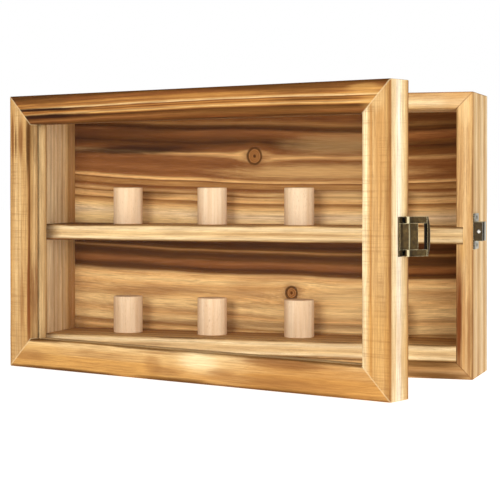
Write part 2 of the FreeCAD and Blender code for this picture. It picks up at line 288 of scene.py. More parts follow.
def arc(radius, start, stop, steps):
    """Points round the origin; angles in degrees from +X towards +Y."""
    angles = [math.radians(start + (stop - start) * k / steps) for k in range(steps + 1)]
    return [Vector((radius * math.cos(a), radius * math.sin(a))) for a in angles]


def sheet_outline(path, thickness):
    """The closed outline of a sheet whose left-hand face follows the path."""
    other = []
    for i, point in enumerate(path):
        ahead = (path[min(i + 1, len(path) - 1)] - path[max(i - 1, 0)]).normalized()
        other.append(point + Vector((ahead.y, -ahead.x)) * thickness)
    return path + other[::-1]


def joined(name, pieces):
    """One mesh from closed pieces that touch or overlap, as metal parts soldered together."""
    mesh = bmesh.new()
    for piece in pieces:
        mesh.from_mesh(piece.data)
    matrix = pieces[0].matrix_world.copy()
    for piece in pieces:
        bpy.data.objects.remove(piece)
    return finished(mesh, name, matrix)


# ---------------- material nodes

def tone(red, green, blue):
    """A colour given as 0 to 255 in sRGB, as the shader's linear values."""
    def linear(part):
        part /= 255
        return part / 12.92 if part <= 0.04045 else ((part + 0.055) / 1.055) ** 2.4
    return (linear(red), linear(green), linear(blue), 1.0)


class Graph:
    """A material, and short calls that add nodes to it."""

    def __init__(self, name):
        self.material = bpy.data.materials.new(name)
        self.material.use_nodes = True
        self.tree = self.material.node_tree
        self.shader = self.tree.nodes["Principled BSDF"]
        source = self.node("TexCoord")
        self.normal = source.outputs["Normal"]
        self.place = self.vector("MULTIPLY", source.outputs["Object"], (1000, 1000, 1000))
        parts = self.node("SeparateXYZ", {0: self.place})
        self.x, self.y, self.z = parts.outputs

    def node(self, kind, inputs=None, **settings):
        made = self.tree.nodes.new("ShaderNode" + kind)
        for key, value in settings.items():
            setattr(made, key, value)
        for key, value in (inputs or {}).items():
            self.put(made.inputs[key], value)
        return made

    def put(self, socket, value):
        if isinstance(value, bpy.types.NodeSocket):
            self.tree.links.new(value, socket)
        else:
            socket.default_value = value

    def set(self, name, value):
        """Give one of the shader's own sockets a value that is the same all over."""
        self.shader.inputs[name].default_value = value

    def math(self, operation, *values):
        return self.node("Math", dict(enumerate(values)), operation=operation).outputs[0]

    def fold(self, operation, values):
        total = values[0]
        for value in values[1:]:
            total = self.math(operation, total, value)
        return total

    def add(self, *values):
        return self.fold("ADD", values)

    def times(self, *values):
        return self.fold("MULTIPLY", values)

    def length(self, x, y):
        return self.math("SQRT", self.add(self.times(x, x), self.times(y, y)))

    def vector(self, operation, *values):
        return self.node("VectorMath", dict(enumerate(values)), operation=operation).outputs[0]

    def span(self, value, low, high):
        """0 below low and 1 above high, smooth in between; low may be the higher."""
        made = self.node("MapRange", {0: value, 1: low, 2: high, 3: 0.0, 4: 1.0},
                         interpolation_type="SMOOTHSTEP")
        return made.outputs[0]

    def noise(self, scale, seed=0.0, detail=3.0, roughness=0.5):
        """Noise from 0 to 1 whose X, Y and Z frequencies, per millimetre, are scale."""
        offset = (seed * 3.1, seed * 5.7, seed * 1.9)
        where = self.vector("MULTIPLY_ADD", self.place, scale, offset)
        made = self.node("TexNoise", {"Vector": where, "Scale": 1.0, "Detail": detail,
                                      "Roughness": roughness})
        return made.outputs[0]

    def swing(self, amount, *noise_values):
        """Noise centred on zero, about amount either way."""
        return self.times(self.math("SUBTRACT", self.noise(*noise_values), 0.5), 2.6 * amount)

    def ramp(self, value, stops):
        made = self.node("ValToRGB", {0: value})
        elements = made.color_ramp.elements
        while len(elements) < len(stops):
            elements.new(1.0)
        for element, (position, colour) in zip(elements, stops):
            element.position = position
            element.color = colour
        return made.outputs[0]

    def mix(self, factor, first, second, blend="MIX"):
        made = self.node("Mix", {0: factor, 6: first, 7: second}, data_type="RGBA", blend_type=blend)
        return made.outputs[2]

    def grey(self, value, low, high):
        """A number that runs from low to high as value runs from 0 to 1."""
        made = self.node("MapRange", {0: value, 1: 0.0, 2: 1.0, 3: low, 4: high})
        return made.outputs[0]

    def shade(self, colour, value, low, high):
        """The colour times a factor that runs from low to high with value."""
        factor = self.grey(value, low, high)
        grey = self.node("CombineXYZ", {0: factor, 1: factor, 2: factor}).outputs[0]
        return self.vector("MULTIPLY", colour, grey)

    def stain(self, colour, value, strength, brown):
        """The colour, multiplied by the brown where value is low."""
        amount = self.times(self.math("SUBTRACT", 1.0, value), strength)
        return self.mix(amount, colour, brown, "MULTIPLY")

    def finish(self, colour, roughness, height=None, bump=0.0):
        self.put(self.shader.inputs["Base Color"], colour)
        self.put(self.shader.inputs["Roughness"], roughness)
        if height is not None:
            made = self.node("Bump", {"Height": height, "Distance": bump * MM, "Strength": 1.0})
            self.put(self.shader.inputs["Normal"], made.outputs[0])
        return self.material


# ---------------- wood

WHITE = tone(255, 244, 218)
IVORY = tone(255, 233, 186)
CREAM = tone(248, 226, 178)
PALE = tone(232, 200, 144)
STRAW = tone(253, 222, 155)
AMBER = tone(237, 194, 126)
TAN = tone(214, 175, 116)
SAND = tone(200, 159, 98)
OCHRE = tone(180, 136, 78)
GOLD = tone(210, 161, 90)
HONEY = tone(188, 134, 68)
CLAY = tone(150, 101, 54)
BROWN = tone(132, 83, 40)
SEPIA = tone(106, 68, 26)
RUSSET = tone(122, 66, 28)
UMBER = tone(80, 47, 14)
CHAR = tone(52, 25, 6)
COOL_STAIN = tone(160, 122, 80)     # what browned wood is multiplied by
WARM_STAIN = tone(165, 108, 54)     # the same for paler wood
MOST_BANDS = 30                     # that one colour ramp is given


class Look:
    """How one board's wood looks. Bands are (millimetres across, colour) pairs."""

    def __init__(self, front, side=None, **changes):
        self.front = front
        self.side = side or [(0, TAN), (20, PALE)]
        self.seed = 0.0
        self.waver = 0.7        # mm that the bands wander over the length
        self.bend = 0.0         # mm that they bow in the first 100 mm from bend_at
        self.bend_at = 0.0      # mm along the board, where they run straight
        self.streak = 0.35      # strength of the long dark streaks
        self.fibre = 0.32       # strength of the fine fibres
        self.stain = COOL_STAIN  # what fibres and scorching multiply the wood's colour by
        self.rings = 0.25       # strength of the thin growth lines
        self.ring_pitch = 2.2   # mm from one growth line to the next
        self.mottle = 0.14      # strength of the cloudy scorching
        self.saw = 0.0          # strength of the marks that the saw left across
        self.burnt = 0.4        # strength of the burn along the long edges
        self.mitre = None       # half length of a mitred board, to find the joints at its ends
        self.joint = CREAM      # colour of the wood along those joints
        self.knots = ()         # (x, y, radius) each
        self.patches = ()       # (x, y, half length, half width, strength, colour) each
        self.__dict__.update(changes)

    def like(self, **changes):
        """The same look, but for the changes."""
        return Look(**{**self.__dict__, **changes})


def knot_pull(g, knots):
    """How far the grain is pushed across by the knots that it flows round."""
    total = 0.0
    for x, y, radius in knots:
        dx = g.times(g.add(g.x, -x), 0.42)
        dy = g.add(g.y, -y)
        squared = g.add(g.times(dx, dx), g.times(dy, dy), 0.8 * radius * radius)
        push = g.math("DIVIDE", g.times(dy, -1.25 * radius * radius), squared)
        total = g.add(total, push) if total else push
    return total


def paint_knots(g, colour, knots, seed):
    """Dark-rimmed knots with rings of their own."""
    for x, y, radius in knots:
        dx = g.add(g.x, -x)
        dy = g.times(g.add(g.y, -y), 0.9)
        away = g.length(dx, dy)
        away = g.add(away, g.swing(0.5, (0.35, 0.35, 0.1), seed + x))
        ringed = g.math("SINE", g.times(away, 5.5))
        inner = g.mix(g.span(ringed, -0.6, 1.0), RUSSET, HONEY)
        inner = g.mix(g.span(away, 0.25 * radius, 0.05 * radius), inner, UMBER)
        rim = g.math("ABSOLUTE", g.add(away, -radius))
        halo = g.span(away, 2.4 * radius, radius)
        colour = g.mix(g.times(halo, 0.45), colour, BROWN)
        colour = g.mix(g.span(away, 1.05 * radius, 0.95 * radius), colour, inner)
        colour = g.mix(g.times(g.span(rim, 1.1, 0.2), 0.9), colour, UMBER)
    return colour


def band_ramp(g, value, bands):
    """Colours at distances across a board. A list too long for one ramp is halved."""
    if len(bands) > MOST_BANDS:
        half = len(bands) // 2
        border = bands[half][0]
        past = g.math("GREATER_THAN", value, float(border))
        near = band_ramp(g, value, bands[:half + 1])
        far = band_ramp(g, value, bands[half:])
        return g.mix(past, near, far)
    first, last = bands[0][0], bands[-1][0]
    stops = [((place - first) / (last - first), colour) for place, colour in bands]
    share = g.node("MapRange", {0: value, 1: float(first), 2: float(last), 3: 0.0, 4: 1.0})
    return g.ramp(share.outputs[0], stops)


def grain_drift(g, look):
    """How far the grain at each point lies from where a straight board would have it."""
    slow = g.swing(look.waver, (0.009, 0.03, 0.03), look.seed, 2.0)
    quick = g.swing(0.08 * look.waver, (0.04, 0.4, 0.4), look.seed + 1, 2.0)
    off = g.times(g.add(g.x, -look.bend_at), 0.01)
    drift = g.add(slow, quick, g.times(off, off, look.bend))
    if look.knots:
        drift = g.add(drift, knot_pull(g, look.knots))
    return drift


def paint_patches(g, colour, patches, seed):
    """Soft-edged areas painted darker or paler; most are the torch's browning, and one band on the back
    panel is partly painted shade.
    """
    for x, y, reach, rise, strength, paint in patches:
        dx = g.times(g.add(g.x, -x), 1 / reach)
        dy = g.times(g.add(g.y, -y), 1 / rise)
        away = g.length(dx, dy)
        away = g.add(away, g.swing(0.3, (0.04, 0.5, 0.4), seed + x, 4.0, 0.65))
        colour = g.mix(g.times(g.span(away, 1.05, 0.3), strength), colour, paint)
    return colour


def growth_lines(g, look, drift):
    """How strong the thin growth lines are. Each is dark at one edge and fades to the next."""
    wander = g.swing(0.5, (0.01, 0.3, 0.3), look.seed + 2)
    level = g.add(g.y, g.times(g.z, 0.83), g.times(drift, 1.3), wander)
    phase = g.math("FRACT", g.math("DIVIDE", level, look.ring_pitch))
    line = g.times(g.span(phase, 0.3, 0.92), g.span(phase, 1.0, 0.95))
    return g.times(line, g.span(g.noise((0.02, 0.35, 0.35), look.seed + 3, 2.0), 0.3, 0.65))


def paint_fibres(g, colour, look):
    """Streaks, fibres and pores, long with the grain. Gives the streaks and fibres too."""
    streak = g.noise((0.010, 0.7, 0.7), look.seed + 4, 4.0, 0.62)
    colour = g.mix(g.times(g.span(streak, 0.5, 0.68), look.streak), colour, RUSSET)
    fibre = g.span(g.noise((0.018, 1.7, 1.7), look.seed + 5, 3.0, 0.7), 0.3, 0.7)
    colour = g.stain(colour, fibre, 1.2 * look.fibre, look.stain)
    colour = g.shade(colour, fibre, 1.0, 1 + 0.3 * look.fibre)
    pore = g.noise((0.08, 1.2, 1.2), look.seed + 6, 3.0, 0.7)
    colour = g.mix(g.times(g.span(pore, 0.58, 0.68), 0.28), colour, BROWN)
    grit = g.noise((1.3, 1.5, 1.5), look.seed + 15, 2.0, 0.6)
    return g.shade(colour, grit, 0.9, 1.1), streak, fibre


def paint_scorching(g, colour, look):
    """The torch's clouds and patches, with fine grain over them."""
    cloud = g.noise((0.022, 0.11, 0.11), look.seed + 17, 4.0, 0.62)
    colour = g.shade(colour, cloud, 1.0, 1 + look.mottle)
    colour = g.stain(colour, g.span(cloud, 0.3, 0.7), 1.6 * look.mottle, look.stain)
    colour = paint_patches(g, colour, look.patches, look.seed)
    fine = g.span(g.noise((0.05, 1.2, 1.2), look.seed + 16, 3.0, 0.7), 0.25, 0.75)
    return g.shade(g.stain(colour, fine, 0.3, look.stain), fine, 1.0, 1.08)


def saw_marks(g, seed, sideways):
    """How strong the saw's marks are. They run straight across, and are faint on the sides."""
    mark = g.noise((0.9, 0.02, 0.02), seed + 8, 3.0, 0.75)
    where = g.span(g.noise((0.03, 0.15, 0.15), seed + 9), 0.3, 0.6)
    return g.times(g.span(mark, 0.46, 0.66), where, g.grey(sideways, 1.0, 0.3))


def paint_burnt_edges(g, colour, look, width, depth):
    """Burns along the long edges, ragged and in places only."""
    rough_y = g.add(g.y, g.swing(0.4, (0.12, 0.5, 0.5), look.seed + 10, 4.0, 0.65))
    rough_z = g.add(g.z, g.swing(0.4, (0.12, 0.5, 0.5), look.seed + 11, 4.0, 0.65))
    from_y = g.math("MINIMUM", rough_y, g.math("SUBTRACT", width, rough_y))
    from_z = g.math("MINIMUM", rough_z, g.math("SUBTRACT", depth, rough_z))
    corner = g.math("MAXIMUM", from_y, from_z)
    where = g.span(g.noise((0.02, 0.1, 0.1), look.seed + 12), 0.35, 0.6)
    burn = g.times(g.span(corner, 1.6, 0.3), where)
    return g.mix(g.times(burn, look.burnt), colour, UMBER)


def paint_joints(g, colour, look):
    """A thin line along the mitre at each end."""
    to_end = g.math("SUBTRACT", look.mitre, g.add(g.math("ABSOLUTE", g.x), g.y))
    to_end = g.add(to_end, g.swing(0.25, (0.5, 0.5, 0.2), look.seed + 13))
    return g.mix(g.times(g.span(to_end, 0.8, 0.2), 0.35), colour, look.joint)


def wood(name, look, width, depth):
    """Solid-looking pine: bands and growth lines, fibres, torch burns and worn edges."""
    g = Graph(name)
    drift = grain_drift(g, look)
    ragged = g.swing(0.16, (0.05, 1.3, 1.3), look.seed + 14)
    front = band_ramp(g, g.add(g.y, drift, ragged), look.front)
    side = band_ramp(g, g.add(g.z, drift, ragged), look.side)
    facing = g.node("SeparateXYZ", {0: g.normal})
    sideways = g.span(g.math("ABSOLUTE", facing.outputs[1]), 0.6, 0.8)
    colour = g.mix(sideways, front, side)
    # from here on the noise follows the grain
    g.place = g.node("CombineXYZ", {0: g.x, 1: g.add(g.y, drift), 2: g.add(g.z, drift)}).outputs[0]

    line = growth_lines(g, look, drift)
    colour = g.mix(g.times(line, look.rings), colour, BROWN)
    colour, streak, fibre = paint_fibres(g, colour, look)
    colour = paint_scorching(g, colour, look)
    colour = paint_knots(g, colour, look.knots, look.seed)
    height = g.add(g.times(fibre, 0.6), g.times(streak, 0.5), g.times(line, -0.5))
    if look.saw:
        mark = saw_marks(g, look.seed, sideways)
        colour = g.mix(g.times(mark, look.saw), colour, BROWN)
        height = g.add(height, g.times(mark, -0.8))
    colour = paint_burnt_edges(g, colour, look, width, depth)
    if look.mitre:
        colour = paint_joints(g, colour, look)
    g.set("Specular IOR Level", 0.08)
    return g.finish(colour, g.grey(fibre, 0.5, 0.75), height, 0.12)


# ---------------- looks of the boards

DOOR_TOP_LOOK = Look(
    front=[(0, UMBER), (1, SEPIA), (1.8, BROWN), (3.0, BROWN), (4.4, HONEY), (5.4, CLAY), (6.3, HONEY),
           (7.0, TAN), (7.6, PALE), (8.1, RUSSET), (8.9, HONEY), (9.6, BROWN), (10.3, HONEY), (11.3, TAN),
           (12.1, GOLD), (12.7, BROWN), (13.3, UMBER), (14.3, SEPIA), (15.6, CLAY), (16.4, BROWN),
           (17.3, SEPIA), (18, UMBER), (19, CHAR)],
    side=[(0, UMBER), (6, BROWN), (12, SEPIA), (19, BROWN)],
    seed=1.0, bend=-0.75, bend_at=35.0, waver=0.55, streak=0.55, rings=0.4, ring_pitch=1.6, burnt=0.8,
    patches=((-125, 4.2, 40, 2.4, 0.6, SEPIA), (-118, 9.7, 58, 1.5, 1.0, CHAR),
             (-116, 14.3, 58, 2.2, 1.0, CHAR), (70, 1.2, 70, 2.4, 0.8, UMBER),
             (60, 15.2, 90, 2.6, 0.6, SEPIA), (96, 9.6, 40, 1.4, 0.6, UMBER),
             (90, 3.0, 60, 3.4, 0.6, SEPIA), (20, 4.6, 60, 1.8, 0.5, HONEY), (134, 5, 16, 4, 0.5, GOLD),
             (140, 12, 12, 6, 0.4, GOLD)))
DOOR_BOTTOM_LOOK = Look(
    front=[(0, HONEY), (1.2, GOLD), (9, GOLD), (11, TAN), (14, TAN), (16.4, PALE), (18.2, PALE), (19, TAN)],
    side=[(0, GOLD), (8, TAN), (19, HONEY)],
    seed=2.0, waver=1.4, streak=0.3, rings=0.12, burnt=0.7,
    patches=((-100, 11, 70, 18, 0.6, HONEY), (-84, 5, 50, 6, 0.5, CLAY), (128, 10, 42, 12, 0.5, GOLD),
             (134, 8, 26, 5, 0.6, CLAY), (105, 0.3, 70, 2.4, 0.9, UMBER), (-90, 0.3, 60, 2.4, 0.9, SEPIA),
             (128, 18.6, 30, 1.6, 0.9, SEPIA), (-20, 0.4, 60, 2.0, 0.7, BROWN),
             (-14, 11, 44, 14, 0.5, PALE), (-14, 8, 36, 10, 0.85, HONEY), (24, 9, 10, 9, 0.6, CLAY),
             (-14, 12, 27, 9, 0.8, PALE), (-12, 14, 20, 6.5, 0.8, CREAM), (20, 17, 30, 1.6, 0.5, BROWN),
             (-92, 9, 70, 20, 0.3, HONEY), (40, 9, 100, 20, 0.2, GOLD), (14, 6, 18, 4, 0.5, CLAY),
             (-30, 8, 14, 3.5, 0.5, CLAY), (8, 0.3, 45, 3.0, 0.9, SEPIA), (100, 0.3, 60, 2.0, 0.8, SEPIA),
             (-78, 16.8, 44, 4.5, 0.8, BROWN), (-60, 5, 60, 4, 0.4, CLAY)))
DOOR_LEFT_LOOK = Look(
    front=[(0, OCHRE), (1, SAND), (4, TAN), (6.5, PALE), (8, TAN), (10, PALE), (11, TAN), (15.6, TAN),
           (16.8, SAND), (17.8, CLAY), (18.4, UMBER), (19, CLAY)],
    side=[(0, SAND), (2, TAN), (4, PALE), (7.2, TAN), (19, PALE)],
    seed=3.0, waver=0.35, streak=0.25, rings=0.2, saw=0.3, burnt=0.4,
    patches=((75, 9, 44, 14, 0.35, OCHRE), (63, 2.6, 22, 1.6, 0.95, BROWN), (60, 5.6, 16, 1.0, 0.9, SEPIA),
             (62, 10, 20, 3.2, 0.85, BROWN), (60, 17.0, 30, 2.6, 0.95, UMBER),
             (-66, 10, 44, 14, 0.35, OCHRE), (-48, 11, 34, 2.4, 0.6, CLAY),
             (-45, 17.6, 44, 2.2, 0.95, RUSSET), (-30, 1.2, 40, 1.4, 0.5, HONEY)))
DOOR_RIGHT_LOOK = Look(
    front=[(0, CLAY), (1.2, OCHRE), (2.8, SAND), (4.4, TAN), (12.3, TAN), (13.1, HONEY), (14, TAN),
           (15.2, PALE), (16.2, CREAM), (19, CREAM)],
    side=[(0, CLAY), (0.8, TAN), (2.2, CREAM), (5, IVORY), (7, WHITE), (10, WHITE), (11.5, IVORY),
          (13, CREAM), (15, PALE), (17, TAN), (18.3, CLAY), (19, SEPIA)],
    seed=4.0, waver=0.5, streak=0.22, rings=0.12, saw=0.32, burnt=0.3,
    patches=((-50, 7, 60, 5, 0.45, HONEY), (62, 9, 40, 12, 0.45, GOLD), (62, 2, 40, 3, 0.4, HONEY),
             (55, 12.6, 45, 1.2, 0.5, HONEY), (-80, 9, 10, 6, 0.4, PALE)))
CASE_LOOK = Look(
    front=[(0, OCHRE), (0.5, TAN), (2.4, TAN), (4.8, PALE), (6.4, TAN), (9.6, TAN), (10.5, OCHRE)],
    side=[(0, OCHRE), (3, TAN), (6, PALE), (9, PALE), (12, CREAM), (17, PALE), (22, TAN), (26, PALE),
          (33, CREAM), (37, CREAM), (40, PALE), (45, TAN), (50, CREAM), (55, CREAM)],
    seed=5.0, waver=0.8, streak=0.2, fibre=0.24, rings=0.16, ring_pitch=4.5, burnt=0.5,
    stain=WARM_STAIN, joint=BROWN)
CASE_LOOKS = {
    "top": CASE_LOOK.like(
        front=[(0, CLAY), (0.8, TAN), (4, PALE), (7, CREAM), (9.4, PALE), (10.5, TAN)],
        seed=10.0, burnt=0.3,
        patches=((140, 6, 12, 8, 0.4, HONEY), (100, 9, 40, 2, 0.3, GOLD))),
    "bottom": CASE_LOOK.like(
        seed=13.0,
        patches=((-128, 1.6, 26, 2.4, 0.8, SEPIA), (-100, 6, 60, 5, 0.3, GOLD),
                 (-125, 5, 40, 6, 0.5, CLAY), (-118, 8.8, 40, 2.6, 0.8, SEPIA),
                 (-122, 2.8, 40, 2, 0.6, SEPIA))),
    "left": CASE_LOOK.like(
        side=[(0, TAN), (2, TAN), (3, CREAM), (6, IVORY), (11, IVORY), (13, CREAM), (14, TAN), (15, CREAM),
              (19, IVORY), (20, PALE), (22, CREAM), (26, CREAM), (27, TAN), (30, CREAM), (36, STRAW),
              (38, SAND), (44, TAN), (49, SAND), (55, OCHRE)],
        seed=16.0),
    "right": CASE_LOOK.like(
        seed=19.0,
        patches=((52, 8.6, 50, 2.8, 1.0, RUSSET), (62, 2.4, 44, 1.6, 0.6, BROWN),
                 (60, 5.5, 50, 1.0, 0.5, HONEY), (8, 6, 12, 3, 0.5, GOLD), (-78, 5, 12, 6, 0.4, PALE))),
}
SHELF_LOOK = Look(
    front=[(0, OCHRE), (0.9, PALE), (2.2, CREAM), (4.4, PALE), (6.6, PALE), (8.6, CREAM), (9.8, TAN),
           (10.5, BROWN)],
    side=[(0, AMBER), (3, TAN), (8, AMBER), (14, SAND), (22, TAN), (27, OCHRE), (36, SAND), (44, OCHRE),
          (49.5, CLAY)],
    seed=6.0, waver=0.7, streak=0.3, fibre=0.24, rings=0.2, ring_pitch=3.0, burnt=0.7)
SHELF_LOOKS = {
    "upper": SHELF_LOOK.like(
        seed=30.0,
        patches=((-147, 5, 10, 40, 1.0, CHAR), (-137, 5, 9, 8, 0.5, SEPIA),
                 (-118, 0.3, 36, 1.2, 0.9, SEPIA), (-118, 10, 36, 1.3, 0.9, BROWN),
                 (20, 5.6, 60, 1.4, 0.4, OCHRE), (60, 9.6, 70, 1.4, 0.4, OCHRE),
                 (110, 2, 40, 2.5, 0.5, OCHRE))),
    "lower": SHELF_LOOK.like(
        seed=31.0, streak=0.2,
        patches=((-40, 8, 60, 2.0, 0.3, OCHRE), (60, 9.5, 60, 1.2, 0.5, CLAY))),
}
BEAD_LOOK = Look(
    front=[(0, TAN), (2, PALE), (3.5, PALE)],
    side=[(0, PALE), (3, PALE), (6.1, SAND)],
    seed=7.0, waver=0.3, streak=0.2, rings=0.2, ring_pitch=1.7, burnt=0.2)
PANEL_LOOK = Look(
    front=[(0, BROWN), (6, CLAY), (8.5, BROWN), (11, CLAY), (13, OCHRE), (15, SEPIA), (17, UMBER),
           (19, CLAY), (22, BROWN), (25, SEPIA), (27, UMBER), (29, SEPIA), (31, BROWN), (32.5, CLAY),
           (34, AMBER), (36, CLAY), (40, BROWN), (44, CLAY), (47, BROWN), (49, CLAY), (50.5, AMBER),
           (51.3, AMBER), (51.9, BROWN), (53, OCHRE), (55.5, OCHRE), (56.2, BROWN), (57.5, CLAY),
           (59.5, TAN), (60.6, OCHRE), (61.1, BROWN), (62, TAN), (64.4, AMBER), (65.2, AMBER),
           (65.8, CLAY), (67, OCHRE), (69, AMBER), (71, STRAW), (75, IVORY), (80, STRAW), (90, BROWN),
           (96, UMBER), (98.5, SEPIA), (99.7, OCHRE), (101, SEPIA), (103, UMBER), (106, SEPIA),
           (108, CLAY), (110.5, BROWN), (112.3, UMBER), (114.5, SEPIA), (116, TAN), (118, AMBER),
           (121, STRAW), (124, AMBER), (127, TAN), (131, AMBER), (136, STRAW), (139, STRAW), (142, TAN),
           (144, AMBER), (147, STRAW), (150, STRAW), (152, OCHRE), (155, AMBER), (158, OCHRE),
           (169, BROWN)],
    seed=8.0, waver=1.5, bend=1.7, bend_at=60.0, streak=0.24, fibre=0.20, rings=0.16, ring_pitch=3.4,
    burnt=0.2, stain=WARM_STAIN,
    knots=((-7.5, 33, 5.0), (19, 126, 3.9)),
    patches=((-95, 28, 66, 4.6, 0.9, CHAR), (-90, 15, 50, 3, 0.5, UMBER), (112, 32, 50, 4, 0.4, SEPIA),
             (52, 26, 50, 10, 0.45, TAN), (40, 44, 90, 7, 0.6, AMBER), (60, 60, 80, 5, 0.3, STRAW),
             (110, 10, 60, 7, 0.5, UMBER), (-78, 59, 22, 4, 0.55, SEPIA), (-6, 122, 22, 5, 0.3, HONEY),
             (100, 103, 70, 6, 0.6, UMBER), (-105, 109, 60, 5, 0.5, UMBER), (70, 128, 60, 8, 0.4, STRAW),
             (-100, 74, 60, 6, 0.4, STRAW), (-95, 127, 60, 4.5, 0.5, CLAY), (-20, 135, 50, 3, 0.35, CLAY),
             # the brown band at 148 mm is partly the wood's own brown, partly painted shade beside the pegs
             (90, 124, 60, 4, 0.35, CLAY), (0, 148, 170, 3.2, 0.6, BROWN), (-85, 155, 70, 3, 0.5, BROWN)))


# ---------------- other materials

def beech():
    """Pinkish turned dowel, its grain upright."""
    g = Graph("beech")
    spread = g.node("ObjectInfo").outputs["Random"]
    fine = g.noise((2.6, 2.6, 0.07), 20, 3.0, 0.65)
    broad = g.noise((0.35, 0.35, 0.015), 21, 2.0)
    colour = g.ramp(broad, [(0.3, tone(226, 190, 148)), (0.5, tone(235, 203, 163)),
                            (0.75, tone(245, 218, 182))])
    colour = g.shade(colour, fine, 0.84, 1.14)
    ray = g.noise((1.6, 1.6, 0.5), 22, 2.0)
    colour = g.mix(g.times(g.span(ray, 0.62, 0.72), 0.45), colour, tone(176, 124, 84))
    colour = g.shade(colour, spread, 0.96, 1.04)
    return g.finish(colour, g.grey(fine, 0.5, 0.75), g.add(fine, ray), 0.08)


def bronze(name="bronze", shade=1.0):
    """Antiqued bronze: painted shade darkens its recesses, and its edges are worn bright where they stand
    out.

    Gives the graph, its colour before the brightening, how worn it is, and its speckle.
    """
    g = Graph(name)
    bevel = g.node("Bevel", {"Radius": 0.3 * MM}, samples=6).outputs[0]
    flat = g.node("NewGeometry").outputs["Normal"]
    same = g.node("VectorMath", {0: bevel, 1: flat}, operation="DOT_PRODUCT").outputs["Value"]
    speckle = g.noise((1.5, 1.5, 1.5), 30, 4.0, 0.6)
    wear_and_highlight = g.times(g.span(same, 0.99, 0.88), g.span(speckle, 0.25, 0.55))
    cloud = g.noise((0.5, 0.5, 0.5), 31, 3.0)
    colour = g.ramp(cloud, [(0.3, tone(50, 37, 17)), (0.55, tone(70, 54, 26)), (0.75, tone(90, 72, 38))])
    colour = g.shade(colour, speckle, 0.75 * shade, 1.2 * shade)
    # painted shade: the colour is darkened where ambient occlusion finds a hollow
    hollow_shade = g.node("AmbientOcclusion", {"Distance": 2.5 * MM}, samples=8).outputs["AO"]
    colour = g.shade(colour, g.span(hollow_shade, 0.25, 0.85), 0.12, 1.0)
    return g, colour, wear_and_highlight, speckle


def brightened_bronze(g, colour, wear_and_highlight, speckle):
    """The material of a bronze graph, with its worn places and any painted highlights bright."""
    g.set("Metallic", 0.8)
    colour = g.mix(wear_and_highlight, colour, tone(220, 206, 164))
    return g.finish(colour, g.grey(speckle, 0.3, 0.5), speckle, 0.03)


def rolled_bronze(name, crest, shaded_edge=None):
    """Bronze for a piece rolled round a pin at its origin, with a painted highlight along the roll's crest.

    crest is (start of the painted highlight in X, its middle and half width in Y); shaded_edge
    is (lowest Y, highest Y, half height) of a bar's inner edge, which is painted near black as shade.
    """
    g, colour, wear_and_highlight, speckle = bronze(name)
    start, middle, half = crest
    # painted highlight along the crest of the roll
    crest_highlight = g.times(g.span(g.x, start, start + 0.25),
                       g.span(g.math("ABSOLUTE", g.add(g.y, -middle)), half, 0.3 * half))
    wear_and_highlight = g.math("MAXIMUM", wear_and_highlight, g.times(crest_highlight, g.grey(speckle, 0.35, 1.0)))
    if shaded_edge:
        low, high, reach = shaded_edge
        # painted shadow: the bar's inner edge is painted near black
        painted_shadow = g.times(g.span(g.y, low, low + 0.1), g.span(g.y, high, high - 0.1),
                        g.span(g.math("ABSOLUTE", g.z), reach, reach - 0.1))
        colour = g.mix(painted_shadow, colour, tone(24, 17, 8))
        wear_and_highlight = g.times(wear_and_highlight, g.math("SUBTRACT", 1.0, painted_shadow))
    return brightened_bronze(g, colour, wear_and_highlight, speckle)


def keeper_bronze(low, high, front):
    """Bronze left dark between two heights and near the front, with a painted pale reflection elsewhere.

    All three are in millimetres. The faces that look along X get the painted reflection at every height.
    """
    g, colour, wear_and_highlight, speckle = bronze("keeper_bronze", 0.55)
    beyond = g.math("MAXIMUM", g.span(g.z, high, high + 0.3), g.span(g.z, low, low - 0.3))
    beyond = g.times(beyond, g.span(g.y, front, front + 1.0))
    facing = g.node("SeparateXYZ", {0: g.normal}).outputs[0]
    outer = g.times(g.span(facing, 0.8, 0.95), g.span(g.y, front, front + 1.0))
    # painted reflection: the wings and the outer faces are painted pale
    painted_reflection = g.times(g.math("MAXIMUM", beyond, outer), g.grey(speckle, 0.6, 1.1))
    colour = g.mix(painted_reflection, colour, tone(206, 202, 186))
    return brightened_bronze(g, colour, wear_and_highlight, speckle)


def steel(name="brad_steel", bright=1.0, metallic=1.0):
    """Grey metal with fine scratches."""
    g = Graph(name)
    scratch = g.noise((2, 2, 2), 40, 3.0)
    colour = g.ramp(scratch, [(0.3, tone(120 * bright, 118 * bright, 112 * bright)),
                              (0.7, tone(168 * bright, 166 * bright, 160 * bright))])
    g.set("Metallic", metallic)
    return g.finish(colour, g.grey(scratch, 0.3, 0.5), scratch, 0.02)


def acrylic():
    """Clear sheet: nearly all see-through, its faint dark grey a painted reflection, with a hard shine."""
    g = Graph("acrylic")
    reflection_noise = g.noise((0.03, 0.03, 0.03), 50, 2.0)
    # painted reflection: the dark grey colour stands in for a dark room seen in the sheet
    colour = g.ramp(reflection_noise, [(0.3, tone(70, 76, 76)), (0.7, tone(96, 102, 102))])
    g.set("Alpha", 0.02)
    g.set("IOR", 1.49)
    return g.finish(colour, g.grey(reflection_noise, 0.02, 0.06))


# ---------------- the pieces

def place_piece(piece, body, nodes, material):
    """Give a piece its material and its body, and hide the CAD nodes that it stands for."""
    piece.data.materials.clear()
    piece.data.materials.append(material)
    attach(piece, body)
    if nodes:
        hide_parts(*nodes)


def place_board(piece, body, node, look, place):
    """Give a board its wood, and put it in its CAD node's place."""
    material = wood(node, look, place.width / MM, place.depth / MM)
    place_piece(piece, body, [node], material)


